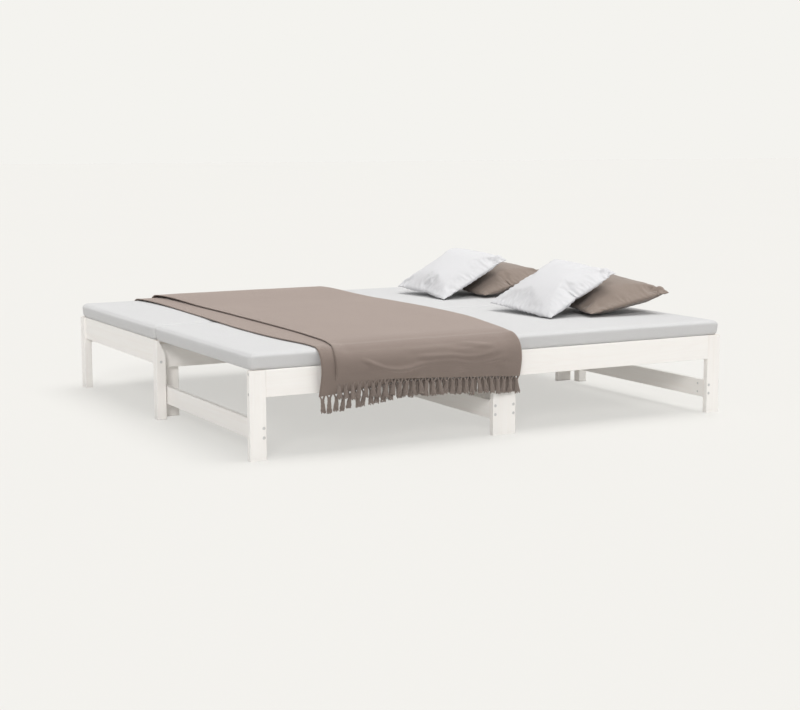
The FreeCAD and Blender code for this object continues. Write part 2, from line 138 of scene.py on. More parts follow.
def summed(tree, *parts):
    """The sum of several values, each times its own share."""
    total = None
    for value, share in parts:
        part = combined(tree, "MULTIPLY", value, share)
        total = part if total is None else combined(tree, "ADD", total, part)
    return total


grain = combined(pine, "MULTIPLY", ranged(pine, streaks, 0.42, 0.78, 0.0, 1.0),
                 ranged(pine, patches, 0.35, 0.7, 0.25, 1.0))
grain = summed(pine, (grain, streak_share), (late_wood, ring_share), (halo, halo_share))
wood_colour = tinted(pine, grain, wash_white, wash_streak)
wood_colour = tinted(pine, combined(pine, "MULTIPLY", knots, knot_share), wood_colour, knot_tint)
wood_colour = tinted(pine, combined(pine, "MULTIPLY", pine_in.outputs["End"], end_share), wood_colour, end_tint)
feed(pine, pine_out, Color=wood_colour, Roughness=ranged(pine, streaks, 0.3, 0.75, 0.46, 0.62),
     Height=summed(pine, (streaks, streak_height), (late_wood, ring_height)))


def new_material(name, **constants):
    """A principled material with its constant values set straight on the shader."""
    material = bpy.data.materials.new(name)
    material.use_nodes = True
    tree = material.node_tree
    shader = tree.nodes["Principled BSDF"]
    for key, value in constants.items():
        shader.inputs[key.replace("_", " ")].default_value = value
    return material, tree, shader


def raise_surface(tree, shader, height, strength, distance):
    bump = feed(tree, add_node(tree, "ShaderNodeBump"), Strength=strength, Distance=distance, Height=height)
    tree.links.new(bump.outputs[0], shader.inputs["Normal"])


def washed_pine(name, along):
    """White-washed pine whose grain runs along one axis of the bed."""
    material, tree, shader = new_material(name, Specular_IOR_Level=0.35)
    where = add_node(tree, "ShaderNodeTexCoord")
    split = feed(tree, add_node(tree, "ShaderNodeSeparateXYZ"), i0=where.outputs["Object"]).outputs
    facing = feed(tree, add_node(tree, "ShaderNodeSeparateXYZ"), i0=where.outputs["Normal"]).outputs
    order = {"x": (0, 1, 2), "y": (1, 2, 0), "z": (2, 0, 1)}[along]
    joined = add_node(tree, "ShaderNodeCombineXYZ")
    feed(tree, joined, i0=split[order[0]], i1=split[order[1]], i2=split[order[2]])
    upright = combined(tree, "ABSOLUTE", facing[order[0]], 0.0)
    wood = add_node(tree, "ShaderNodeGroup", node_tree=pine)
    feed(tree, wood, Place=joined.outputs[0], End=ranged(tree, upright, 0.75, 0.95, 0.0, 1.0))
    feed(tree, shader, Base_Color=wood.outputs["Color"], Roughness=wood.outputs["Roughness"])
    raise_surface(tree, shader, wood.outputs["Height"], grain_bump, grain_depth)
    return material


pine_along = {axis: washed_pine("white_pine_" + axis, axis) for axis in "xyz"}


def finish_boards(names, axis):
    for name in names:
        nodes[name].data.materials.clear()
        nodes[name].data.materials.append(pine_along[axis])


finish_boards(["fixed_post_left", "fixed_post_middle", "fixed_post_right"], "z")
finish_boards(["back_leg_left", "back_leg_middle", "back_leg_right"], "z")
finish_boards(["fixed_front_rail", "back_rail_left", "back_rail_right"], "x")
finish_boards(["end_rail_left", "end_rail_right"], "y")
finish_boards(["fixed_slat_" + str(number) for number in range(1, 10)], "y")

# Boards of the pull-out half: three front legs with two rails between them, a cleat behind,
# four low stretchers back to the rear legs, two rear rails and eight slats.
# The same washed pine; the grain follows each board's length.
finish_boards(["front_leg_left", "front_leg_middle", "front_leg_right"], "z")
finish_boards(["rear_leg_left", "rear_leg_middle", "rear_leg_right"], "z")
finish_boards(["front_rail_left", "front_rail_right", "rear_rail_left", "rear_rail_right"], "x")
finish_boards(["front_slat_cleat"], "x")
finish_boards(["stretcher_left", "stretcher_middle_left", "stretcher_middle_right", "stretcher_right"], "y")
finish_boards(["pull_out_slat_" + str(number) for number in range(1, 9)], "y")

# Furniture bolts and barrel nuts: zinc-plated steel, turned, with a hexagon socket in each flush head.
# Each bolt runs through a leg into a barrel nut let into the next board from its side.
head_radius = 0.0055
head_height = 0.0035
shank_radius = 0.003
socket_flat = 0.002
socket_depth = 0.0024
nut_radius = 0.005
nut_length = 0.014
head_ease, head_ease_depth = 0.0006, 0.0005
tip_taper = 0.001
nut_ease, nut_ease_depth = 0.0007, 0.0006
slot_radius, slot_foot_radius, slot_depth = 0.0017, 0.0014, 0.0012
head_over_shank = 1.3
weld_distance = 1e-6
turned_sides = 24
zinc_dark = (0.58, 0.58, 0.585, 1)
zinc_pale = (0.72, 0.715, 0.71, 1)


def skin_rings(mesh, rings):
    """Faces from ring to ring, and one over each end."""
    sides = len(rings[0])
    for first, second in zip(rings, rings[1:]):
        for turn in range(sides):
            after = (turn + 1) % sides
            mesh.faces.new((first[turn], second[turn], second[after], first[after]))
    mesh.faces.new(rings[0])
    mesh.faces.new(list(reversed(rings[-1])))


def revolved(mesh, start, way, stations):
    """A turned piece along way: each station is a depth and a radius, or a socket's half width."""
    way = Vector(way).normalized()
    side = way.orthogonal().normalized()
    rise = way.cross(side)
    rings = []
    for depth, radius, six_sided in stations:
        ring = []
        for turn in range(turned_sides):
            angle = 2 * math.pi * turn / turned_sides
            reach = radius
            if six_sided:
                sixth = math.pi / 3
                reach = radius / math.cos(angle % sixth - sixth / 2)
            outward = side * math.cos(angle) + rise * math.sin(angle)
            ring.append(mesh.verts.new(start + way * depth + outward * reach))
        rings.append(ring)
    skin_rings(mesh, rings)


def new_piece(name, mesh, material, smooth=True):
    bmesh.ops.recalc_face_normals(mesh, faces=mesh.faces)
    data = bpy.data.meshes.new(name)
    mesh.to_mesh(data)
    mesh.free()
    data.materials.append(material)
    if smooth:
        data.shade_smooth()
    piece = bpy.data.objects.new(name, data)
    scene.collection.objects.link(piece)
    return piece


zinc, zinc_tree, zinc_shader = new_material("zinc_steel", Metallic=1.0)
zinc_where = add_node(zinc_tree, "ShaderNodeTexCoord").outputs["Object"]
zinc_cloud = clouded(zinc_tree, Vector=zinc_where, Scale=420.0, Detail=3.0)
feed(zinc_tree, zinc_shader, Base_Color=tinted(zinc_tree, zinc_cloud, zinc_dark, zinc_pale),
     Roughness=ranged(zinc_tree, zinc_cloud, 0.3, 0.7, 0.34, 0.55))


def fastener_group(name, body, kind, stands_for):
    """Turned copies of a group of fasteners, one for each solid of the node that they stand for."""
    source = bmesh.new()
    source.from_mesh(nodes[stands_for].data)
    bmesh.ops.remove_doubles(source, verts=source.verts, dist=weld_distance)
    mesh = bmesh.new()
    waiting = set(source.verts)
    while waiting:
        island = [waiting.pop()]
        for vert in island:
            for edge in vert.link_edges:
                other = edge.other_vert(vert)
                if other in waiting:
                    waiting.remove(other)
                    island.append(other)
        spots = np.array([vert.co for vert in island])
        low, high = spots.min(0), spots.max(0)
        middle = (low + high) / 2
        axis = int(np.argmax(high - low))
        way = np.zeros(3)
        way[axis] = 1.0
        start = middle.copy()
        if kind == "bolt":
            near_low = spots[:, axis] - low[axis] < 10 * weld_distance
            across = np.abs(np.delete(spots - middle, axis, 1)).max(1)
            headed_low = across[near_low].max() > shank_radius * head_over_shank
            start[axis] = low[axis] if headed_low else high[axis]
            way *= 1 if headed_low else -1
            reach = high[axis] - low[axis]
            stations = [
                (socket_depth, socket_flat, True), (0.0, socket_flat, True),
                (0.0, head_radius - head_ease, False), (head_ease_depth, head_radius, False),
                (head_height, head_radius, False), (head_height, shank_radius, False),
                (reach - tip_taper, shank_radius, False), (reach, shank_radius - tip_taper, False),
            ]
        else:
            start[axis] = low[axis]
            stations = [
                (slot_depth, slot_foot_radius, False), (0.0, slot_radius, False),
                (0.0, nut_radius - nut_ease, False), (nut_ease_depth, nut_radius, False),
                (nut_length - nut_ease_depth, nut_radius, False), (nut_length, nut_radius - nut_ease, False),
                (nut_length, slot_radius, False), (nut_length - slot_depth, slot_foot_radius, False),
            ]
        revolved(mesh, Vector(start), way, stations)
    source.free()
    piece = new_piece(name, mesh, zinc, smooth=False)
    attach(piece, body)
    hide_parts(stands_for)


fastener_group("fixed_bolt_set", "fixed_frame", "bolt", "fixed_bolts")
fastener_group("fixed_nut_set", "fixed_frame", "nut", "fixed_barrel_nuts")
fastener_group("pull_out_bolt_set", "pull_out", "bolt", "pull_out_bolts")
fastener_group("pull_out_nut_set", "pull_out", "nut", "pull_out_barrel_nuts")

# Two foam pads in sewn covers of pale grey woven cotton, laid side by side over the slats.
# Their edges are rounded by the foam, the cover is drawn tight, and a seam runs down each corner.
pad_edge_round = 0.022
pad_end_round = 0.034
pad_draw_in = 0.0055
pad_foot_round = 0.012
pad_corner_round = 0.034
pad_corner_fill = 0.45
pad_crown, pad_crown_reach = 0.0028, 0.16
pad_step = 0.024
pad_seam_depth = 0.0013
pad_seam_from = 0.6
pad_clear = 0.0006
pad_side_band, pad_side_slack = 0.012, 0.0012
pad_ripple, pad_fine_ripple = 0.0012, 0.0004
pad_ripple_scale, pad_fine_scale, pad_slow_scale = 11.0, 34.0, 6.0
pad_settle, pad_uneven = 0.0008, 0.0006
corner_stations = (0.0, 0.003, 0.0065, 0.0105, 0.015, 0.0195, 0.024, 0.029, 0.034, 0.044, 0.058)
pad_levels = (0.0, 0.003, 0.006, 0.009, 0.012, 0.019, 0.026, 0.0305, 0.035, 0.0395,
              0.044, 0.048, 0.052, 0.056, 0.060)
# Under the throw the front pad's edge is pressed down, from one X to another and eased at both.
pressed_from, pressed_to = -0.722, 0.085
pressed_ease = 0.095
pressed_depth = 0.017
pressed_reach = 0.13
pad_give = 1.18


def graded(low, high):
    """Positions along one side, close together near both ends."""
    ends = corner_stations[-1]
    count = int(round((high - low - 2 * ends) / pad_step))
    middle = np.linspace(low + ends, high - ends, count + 1)[1:-1]
    return np.concatenate([low + np.array(corner_stations), middle, high - np.array(corner_stations)[::-1]])


def eased(share):
    return share ** 2 * (3 - 2 * share)


turn_steps = np.linspace(0, 1, 65)
turn_angles = math.pi / 2 * eased(turn_steps)
turn_in = np.concatenate([[0.0], np.cumsum(np.cos((turn_angles[1:] + turn_angles[:-1]) / 2))])
turn_down = np.concatenate([[0.0], np.cumsum(np.sin((turn_angles[1:] + turn_angles[:-1]) / 2))])
turn_in, turn_down = turn_in / turn_in[-1], turn_down / turn_down[-1]


def soft_turn(share):
    """How far out and down a soft edge has turned, each from 0 to 1, with no break where the turn begins."""
    return np.interp(share, turn_steps, turn_in), np.interp(share, turn_steps, turn_down)


def set_cloth_place(data, places):
    """Keeps where each point lies on the flat cloth, in metres, for the weave."""
    attribute = data.attributes.new("cloth_place", "FLOAT_VECTOR", "POINT")
    attribute.data.foreach_set("vector", np.asarray(places, np.float32).ravel())


def wander(points, scale, shift):
    """Smooth unevenness from -1 to 1 at each point."""
    start = Vector((shift, shift * 1.7, shift * 0.6))
    return np.array([noise.noise(Vector(point) * scale + start) for point in points])


weave, weave_in, weave_out = new_group(
    "woven_cloth",
    [("Place", "NodeSocketVector"), ("Threads", "NodeSocketFloat")],
    [("Thread", "NodeSocketFloat"), ("Slub", "NodeSocketFloat"), ("Height", "NodeSocketFloat")],
)
thread_waver = (0.0012, 0.0012, 0.0012)
slub_stretch = (30, 260, 90)
thread_height, slub_height = 0.6, 0.4
weave_place = weave_in.outputs["Place"]
waver = feed(weave, add_node(weave, "ShaderNodeTexNoise"), Vector=weave_place, Scale=70.0, Detail=2.0).outputs[1]
threaded = feed(weave, add_node(weave, "ShaderNodeVectorMath", operation="ADD"),
                i0=weave_place, i1=scaled(weave, waver, thread_waver)).outputs[0]
counted = add_node(weave, "ShaderNodeVectorMath", operation="SCALE")
feed(weave, counted, i0=threaded)
weave.links.new(weave_in.outputs["Threads"], counted.inputs["Scale"])
across, along, _ = feed(weave, add_node(weave, "ShaderNodeSeparateXYZ"), i0=counted.outputs[0]).outputs
warp = combined(weave, "SINE", combined(weave, "MULTIPLY", across, 2 * math.pi), 0.0)
weft = combined(weave, "SINE", combined(weave, "MULTIPLY", along, 2 * math.pi), 0.0)
over = combined(weave, "MULTIPLY", warp, weft)
thread = ranged(weave, over, -1.0, 1.0, 0.0, 1.0)
slub = clouded(weave, Vector=scaled(weave, weave_place, slub_stretch), Scale=1.0, Detail=3.0)
feed(weave, weave_out, Thread=thread, Slub=slub,
     Height=summed(weave, (thread, thread_height), (slub, slub_height)))
thread_share, slub_share, shade_share = 0.35, 0.4, 0.3
weave_bump = 0.5


def woven(name, light, dark, threads, bump, **constants):
    """Matte cloth whose threads, slubs and slow shade changes follow the cut of the cloth."""
    material, tree, shader = new_material(name, **constants)
    place = add_node(tree, "ShaderNodeAttribute", attribute_name="cloth_place").outputs["Vector"]
    cloth = feed(tree, add_node(tree, "ShaderNodeGroup", node_tree=weave), Place=place, Threads=threads)
    cloud = clouded(tree, Vector=place, Scale=7.0, Detail=3.0)
    share = summed(tree, (cloth.outputs["Thread"], thread_share), (cloth.outputs["Slub"], slub_share),
                   (cloud, shade_share))
    feed(tree, shader, Base_Color=tinted(tree, share, dark, light),
         Roughness=ranged(tree, cloth.outputs["Slub"], 0.3, 0.7, 0.82, 0.95))
    raise_surface(tree, shader, cloth.outputs["Height"], weave_bump, bump)
    return material


pad_cover = woven("pad_cover", (0.61, 0.61, 0.613, 1), (0.54, 0.54, 0.543, 1), 620.0, 0.0004,
                  Sheen_Weight=0.2, Sheen_Roughness=0.4, Specular_IOR_Level=0.2)


def pressed_down(x, from_front):
    """How far the throw settles into the front pad's edge; the pad gives a little more than that."""
    width = np.clip((x - pressed_from) / pressed_ease, 0, 1) * np.clip((pressed_to - x) / pressed_ease, 0, 1)
    return pressed_depth * eased(width) * np.clip(1 - from_front / pressed_reach, 0, 1) ** 2


def foam_pad(name, node, shift, under_throw):
    """A block of foam in its cover: a closed box grid, rounded, drawn in, crowned and sewn down its corners."""
    low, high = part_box(node)
    foot = low.z + pad_clear
    height = high.z - foot
    levels = foot + np.array(pad_levels) * height / pad_levels[-1]
    stations = (graded(low.x, high.x), graded(low.y, high.y), levels)
    counts = [len(row) for row in stations]
    found = {}
    points = []

    def corner(i, j, k):
        key = (i, j, k)
        if key not in found:
            found[key] = len(points)
            points.append((stations[0][i], stations[1][j], stations[2][k]))
        return found[key]

    faces = []
    for fixed in range(3):
        first, second = (fixed + 1) % 3, (fixed + 2) % 3
        for level in (0, counts[fixed] - 1):
            for a in range(counts[first] - 1):
                for b in range(counts[second] - 1):
                    loop = []
                    for step_a, step_b in ((0, 0), (1, 0), (1, 1), (0, 1)):
                        spot = [0, 0, 0]
                        spot[fixed], spot[first], spot[second] = level, a + step_a, b + step_b
                        loop.append(corner(*spot))
                    faces.append(loop if level else loop[::-1])
    box_points = np.array(points)
    flat = box_points[:, :2]
    inner_low = np.array((low.x, low.y)) + pad_corner_round
    inner_high = np.array((high.x, high.y)) - pad_corner_round
    held = np.clip(flat, inner_low, inner_high)
    out = flat - held
    longest = np.abs(out).max(1)
    length = np.maximum(np.linalg.norm(out, axis=1), 1e-9)
    way = out / length[:, None]
    inward = pad_corner_round - longest
    rise = box_points[:, 2] - foot
    new_inward, new_rise = inward.copy(), rise.copy()
    edge_round = pad_edge_round + (pad_end_round - pad_edge_round) * way[:, 0] ** 2
    for radius, level, sign in ((edge_round, height, 1), (pad_foot_round, 0.0, -1)):
        side = radius - inward
        lift = sign * (rise - level) + radius
        turning = (side > 0) & (lift > 0)
        out_share, down_share = soft_turn((side + radius - lift) / (2 * radius))
        new_inward = np.where(turning, radius * (1 - out_share), new_inward)
        new_rise = np.where(turning, level - sign * radius * down_share, new_rise)
    on_side = np.clip(1 - inward / pad_side_band, 0, 1)
    on_corner = np.abs(np.abs(out[:, 0]) - np.abs(out[:, 1])) < 10 * weld_distance
    seam = on_corner & (longest > pad_seam_from * pad_corner_round)
    ripple = (wander(box_points, pad_ripple_scale, shift) * pad_ripple
              + wander(box_points, pad_fine_scale, shift + 4) * pad_fine_ripple)
    new_inward += on_side * (pad_side_slack + ripple + pad_draw_in * (1 - rise / height) ** 2)
    new_inward += seam * pad_seam_depth
    fuller = np.maximum(np.abs(way).max(1), 0.5) ** -pad_corner_fill
    settled = held + way * ((pad_corner_round - new_inward) * fuller)[:, None]
    settled = np.where((longest > 0)[:, None], settled, flat)
    top = np.clip(rise / height * 4 - 3, 0, 1)
    from_edge = np.minimum(flat - (low.x, low.y), (high.x, high.y) - flat).min(1)
    sink = pad_crown * (1 - np.clip(from_edge / pad_crown_reach, 0, 1)) ** 2
    sink += pad_settle + pad_uneven * wander(box_points, pad_slow_scale, shift + 9)
    new_rise = new_rise - top * sink
    if under_throw:
        upper_part = np.clip(rise / height * 2 - 0.6, 0, 1)
        new_rise -= pad_give * upper_part * pressed_down(flat[:, 0], flat[:, 1] - low.y)
    data = bpy.data.meshes.new(name)
    data.from_pydata(np.column_stack([settled, foot + new_rise]).tolist(), [], faces)
    data.materials.append(pad_cover)
    data.shade_smooth()
    on_end = np.abs(out[:, 0]) >= np.abs(out[:, 1])
    drop = np.where(longest > 0, height - rise, 0.0)
    set_cloth_place(data, np.column_stack([
        box_points[:, 0] + np.where(on_end, np.sign(out[:, 0]) * drop, 0),
        box_points[:, 1] + np.where(on_end, 0, np.sign(out[:, 1]) * drop), rise]))
    pad = bpy.data.objects.new(name, data)
    scene.collection.objects.link(pad)
    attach(pad, "fixed_frame")
    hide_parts(node)
    return pad


foam_pad("pad_back", "mattress_back", 3.0, False)
front_pad = foam_pad("pad_front", "mattress_front", 11.0, True)
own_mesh(front_pad)

# One wool throw folded double across both pads, its fold towards the cushions and its free edges on the left.
# The upper layer stops short of the lower one, both hang over the front and back edges,
# and turned hems stiffen the free edges.
throw_gap = 0.0032
throw_spacing = 0.0062
throw_thickness = 0.0030
throw_bend_in = 0.074
throw_bend_down = 0.085
throw_stand_off = 0.031
throw_flare = 0.002
throw_hang_in = 0.019
throw_hem_lift = 0.004
throw_back_lift = (0.004, 0.011)
throw_back_from, throw_back_run = 0.35, 0.5
throw_droop, throw_droop_reach = 0.0026, 0.16
throw_edge_sink = 0.0016
throw_relief_clear = 0.001
lower_relief_share = 0.6
upper_loft, upper_uneven, upper_fine = 0.0013, 0.0013, 0.0005
hem_from, hem_run, hem_stiffness = 0.985, 0.008, 0.0009
fold_fullness = 1.6
hem_back = 0.222
front_y, back_y, rest_z = -0.910, 0.910, 0.365
# Edges seen from above, as points of Y and X.
fold_line = ((-0.95, 0.044), (-0.86, 0.050), (-0.72, 0.080), (-0.374, 0.153),
             (0.065, 0.176), (0.672, 0.146), (0.93, 0.134))
upper_line = ((-0.93, -0.699), (-0.86, -0.682), (-0.642, -0.657), (-0.127, -0.640),
              (0.451, -0.640), (0.75, -0.652), (0.93, -0.674))
lower_line = ((-0.93, -0.752), (-0.86, -0.748), (-0.60, -0.770), (-0.35, -0.775),
              (0.166, -0.750), (0.70, -0.738), (0.93, -0.756))
# Front hems, as points of X and Z.
upper_hem_line = ((-0.76, 0.247), (-0.465, 0.244), (-0.2, 0.230), (0.06, 0.216))
lower_hem_line = ((-0.76, 0.201), (-0.60, 0.215), (-0.45, 0.232), (-0.2, 0.233), (0.06, 0.216))
# Each crease of the front drop: how far it stands out, half its width, and its points of X and Z.
creases = (
    (0.0085, 0.0095, ((-0.61, 0.330), (-0.574, 0.314), (-0.512, 0.286), (-0.465, 0.276),
                      (-0.401, 0.282), (-0.365, 0.290))),
    (0.0050, 0.0085, ((-0.40, 0.322), (-0.353, 0.320), (-0.252, 0.318), (-0.132, 0.307),
                      (-0.078, 0.318), (-0.03, 0.330))),
    (0.0060, 0.0090, ((-0.42, 0.286), (-0.353, 0.294), (-0.252, 0.297), (-0.161, 0.281),
                      (-0.102, 0.281), (-0.010, 0.302))),
    (0.0030, 0.0070, ((-0.25, 0.340), (-0.19, 0.335), (-0.12, 0.343), (-0.05, 0.338))),
    (0.0028, 0.0060, ((-0.22, 0.358), (-0.16, 0.354), (-0.10, 0.346), (-0.05, 0.350))),
    (0.0022, 0.0080, ((-0.44, 0.352), (-0.38, 0.346), (-0.30, 0.349), (-0.22, 0.344))),
    (0.0028, 0.0100, ((-0.30, 0.262), (-0.20, 0.258), (-0.06, 0.264), (0.02, 0.256))),
)
crease_end = 0.05
hollow_share, hollow_below, hollow_width = 0.35, 2.2, 1.3
wave_from, wave_run = 0.345, 0.10
wave_height, wave_beat, wave_start = 0.0035, 15.0, 0.6
ripple_height, ripple_beat, ripple_start = 0.0025, 31.0, 1.9


def along_line(line, spots):
    """A smooth line through a row of points, read at the given spots."""
    knots = np.array(line)
    slope = np.gradient(knots[:, 1], knots[:, 0])
    spots = np.clip(spots, knots[0, 0], knots[-1, 0])
    place = np.clip(np.searchsorted(knots[:, 0], spots) - 1, 0, len(knots) - 2)
    width = knots[place + 1, 0] - knots[place, 0]
    share = (spots - knots[place, 0]) / width
    square, cube = share ** 2, share ** 3
    return ((2 * cube - 3 * square + 1) * knots[place, 1] + (cube - 2 * square + share) * width * slope[place]
            + (3 * square - 2 * cube) * knots[place + 1, 1] + (cube - square) * width * slope[place + 1])


fall_rows, bend_rows, top_rows = 24, 24, 90
bend_front = front_y - throw_stand_off + throw_bend_in
bend_back = back_y + throw_stand_off - throw_bend_in
bend_level = rest_z + throw_gap - throw_bend_down


def turned(share):
    """A point of the soft turn over the pad's edge, and the way that the cloth faces there."""
    out_share, down_share = soft_turn(share)
    angle = math.pi / 2 * eased(share)
    facing = Vector((math.sin(angle) / throw_bend_in, math.cos(angle) / throw_bend_down)).normalized()
    return float(out_share) * throw_bend_in, (1 - float(down_share)) * throw_bend_down, facing.x, facing.y


def profile(row, hem_front):
    """Where a row of the cloth runs, and which way it faces, from the front hem to the back hem."""
    if row < fall_rows:
        share = row / fall_rows
        inward = throw_hang_in * (1 - share) ** 1.5
        return (front_y - throw_stand_off + inward, hem_front + (bend_level - hem_front) * share), (-1.0, 0.0)
    row -= fall_rows
    if row < bend_rows:
        side, lift, face_out, face_up = turned(1 - row / bend_rows)
        return (bend_front - side, bend_level + lift), (-face_out, face_up)
    row -= bend_rows
    if row < top_rows:
        return (bend_front + (bend_back - bend_front) * row / top_rows, rest_z + throw_gap), (0.0, 1.0)
    row -= top_rows
    if row < bend_rows:
        side, lift, face_out, face_up = turned(row / bend_rows)
        return (bend_back + side, bend_level + lift), (face_out, face_up)
    row -= bend_rows
    share = row / fall_rows
    inward = throw_hang_in * share ** 1.5
    return (back_y + throw_stand_off - inward, bend_level + (hem_back - bend_level) * share), (1.0, 0.0)


row_count = 2 * fall_rows + 2 * bend_rows + top_rows + 1
lower_columns, turn_columns, upper_columns = 100, 8, 92
columns = [("lower", column / lower_columns) for column in range(lower_columns)]
columns += [("turn", column / turn_columns) for column in range(turn_columns)]
columns += [("upper", column / upper_columns) for column in range(upper_columns + 1)]


def drop_relief(x, z, upper):
    """How far the hanging front stands out: slow waves and the pressed creases."""
    fall = np.clip((wave_from - z) / wave_run, 0, 1)
    stand = wave_height * np.sin(x * wave_beat + wave_start) * fall
    stand += ripple_height * np.sin(x * ripple_beat + ripple_start) * fall ** 2
    for tall, wide, line in creases:
        ends = np.clip((x - line[0][0]) / crease_end, 0, 1) * np.clip((line[-1][0] - x) / crease_end, 0, 1)
        away = z - along_line(line, x)
        hollow = np.exp(-((away + hollow_below * wide) / (hollow_width * wide)) ** 2)
        stand += upper * tall * ends * (np.exp(-(away / wide) ** 2) - hollow_share * hollow)
    return stand


def read_line(line, spot):
    return float(along_line(line, np.array([spot]))[0])


fold_radius = throw_spacing / 2
upper_place, cloth_run = 2.0, 2.12
throw_points, throw_places = [], []
for row in range(row_count):
    along_share = row / (row_count - 1)
    (row_y, _), _ = profile(row, hem_back)  # a row's Y is the same whatever the hem
    fold_x, upper_x, lower_x = [read_line(line, row_y) for line in (fold_line, upper_line, lower_line)]
    turn_x = fold_x - fold_radius
    for layer, share in columns:
        if layer == "lower":
            x = lower_x + (turn_x - lower_x) * share
            rise, upper = 0.0, 0.0
        elif layer == "turn":
            angle = math.pi * share - math.pi / 2
            x = turn_x + fold_radius * math.cos(angle) * fold_fullness
            rise, upper = fold_radius + fold_radius * math.sin(angle), (math.sin(angle) + 1) / 2
        else:
            x = turn_x + (upper_x - turn_x) * share
            rise, upper = throw_spacing - throw_edge_sink * np.clip(share * 3 - 2, 0, 1), 1.0
        hem = read_line(upper_hem_line if upper > 0.5 else lower_hem_line, x)
        (y, z), face = profile(row, hem)
        edge = share if layer == "upper" else 1 - share
        stiff = hem_stiffness * np.clip((edge - hem_from) / hem_run, 0, 1) if layer != "turn" else 0.0
        if layer == "lower" and row < fall_rows:
            x -= throw_flare * (1 - row / fall_rows) * (1 - share) ** 6
        if row < fall_rows + bend_rows:
            rise += throw_hem_lift * upper * max(0.0, 1 - row / fall_rows) ** 2
            relief = float(drop_relief(np.array([x]), np.array([z]), upper)[0])
            rise += max(0.0, relief) * (1.0 if upper else lower_relief_share) + throw_relief_clear
        uneven = noise.noise(Vector((x * 5.2, y * 3.1, 2.0 + upper)))
        fine = noise.noise(Vector((x * 13.0, y * 9.0, 7.0)))
        rise += upper * (upper_loft + upper_uneven * uneven + upper_fine * fine) + stiff
        from_edge = min(y - front_y, back_y - y)
        lying = np.clip((z - bend_level) / throw_bend_down, 0, 1)
        droop = throw_droop * np.clip(1 - from_edge / throw_droop_reach, 0, 1) ** 2
        droop = lying * (droop + pressed_down(x, y - front_y))
        slack = lying * eased(np.clip((y - throw_back_from) / throw_back_run, 0, 1))
        lift = slack * (throw_back_lift[0] + (throw_back_lift[1] - throw_back_lift[0]) * upper)
        throw_points.append((x, y + face[0] * rise, z + face[1] * rise - droop + lift))
        throw_places.append((x + (0.0 if upper < 0.5 else upper_place), along_share * cloth_run, 0.0))
width_count = len(columns)
throw_faces = []
for row in range(row_count - 1):
    for column in range(width_count - 1):
        first = row * width_count + column
        throw_faces.append((first, first + 1, first + width_count + 1, first + width_count))


def wool(name, light, dark):
    """Thick soft wool with a warm bloom of loose fibres."""
    return woven(name, light, dark, 420.0, 0.0007, Sheen_Weight=0.54, Sheen_Roughness=0.6,
                 Sheen_Tint=(0.93, 0.80, 0.735, 1), Specular_IOR_Level=0.15)


throw_cloth = wool("taupe_wool", (0.2095, 0.1675, 0.1445, 1), (0.149, 0.1155, 0.099, 1))


def made_final(piece):
    """Applies what is still live on a piece, so that its mesh is the finished one."""
    depsgraph = bpy.context.evaluated_depsgraph_get()
    shown = piece.evaluated_get(depsgraph)
    data = bpy.data.meshes.new_from_object(shown, preserve_all_data_layers=True, depsgraph=depsgraph)
    piece.modifiers.clear()
    piece.data = data
    return piece


throw_data = bpy.data.meshes.new("throw_wool")
throw_data.from_pydata(throw_points, [], throw_faces)
throw_data.materials.append(throw_cloth)
throw_data.shade_smooth()
set_cloth_place(throw_data, throw_places)
throw = bpy.data.objects.new("throw_wool", throw_data)
scene.collection.objects.link(throw)
body_of_cloth = throw.modifiers.new("thickness", "SOLIDIFY")
body_of_cloth.thickness = throw_thickness
body_of_cloth.offset = 0.0
made_final(throw)
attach(throw, "fixed_frame")
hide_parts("throw")
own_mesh(throw)

# Knotted wool fringe along both hems: yarns are drawn from the cloth in bundles,
# knotted a finger below the hem, and left as twisted tufts that open out at the foot.
tuft_pitch = 0.026
tuft_length = 0.062
knot_drop = 0.017
yarn_radius = 0.0024
yarn_sides = 6
yarn_steps = 12
yarn_turn = 0.09
yarns_in_tuft = 9
knot_drop_range, knot_shift, foot_shift = (0.9, 1.15), 0.0015, 0.0075
length_range, cut_range = (0.93, 1.06), (0.94, 1.03)
twist_range, twist_left, twist_turns = (1.6, 2.6), 0.75, 0.55
foot_spread, foot_spread_swing = 0.0088, 0.0016
hem_overlap = 0.003
root_reach, bundle_half, bundle_depth = 0.0072, 0.0032, 0.0018
tuft_half, tuft_flat = 0.0034, 0.55
knot_half, knot_depth, knot_height = 0.0054, 0.0036, 0.0056
knot_steps, knot_steps_in_turn = 15, 9
# The yarn is the throw's wool painted lighter: painted light that lifts the shade falling between the yarns.
shade_lifted_yarn = wool("taupe_yarn_painted_lighter", (0.240, 0.200, 0.176, 1), (0.171, 0.138, 0.121, 1))
chance = np.random.default_rng(7)


def yarn(mesh, path, radii):
    """A twisted yarn along a path, with its own radius at each point."""
    path = [Vector(point) for point in path]
    rings = []
    for number, point in enumerate(path):
        ahead = path[min(number + 1, len(path) - 1)] - path[max(number - 1, 0)]
        side = ahead.cross(Vector((0, 1, 0.01))).normalized()
        lift = ahead.cross(side).normalized()
        ring = []
        for turn in range(yarn_sides):
            angle = 2 * math.pi * (turn / yarn_sides + number * yarn_turn)
            outward = side * math.cos(angle) + lift * math.sin(angle)
            ring.append(mesh.verts.new(point + outward * radii[number]))
        rings.append(ring)
    skin_rings(mesh, rings)


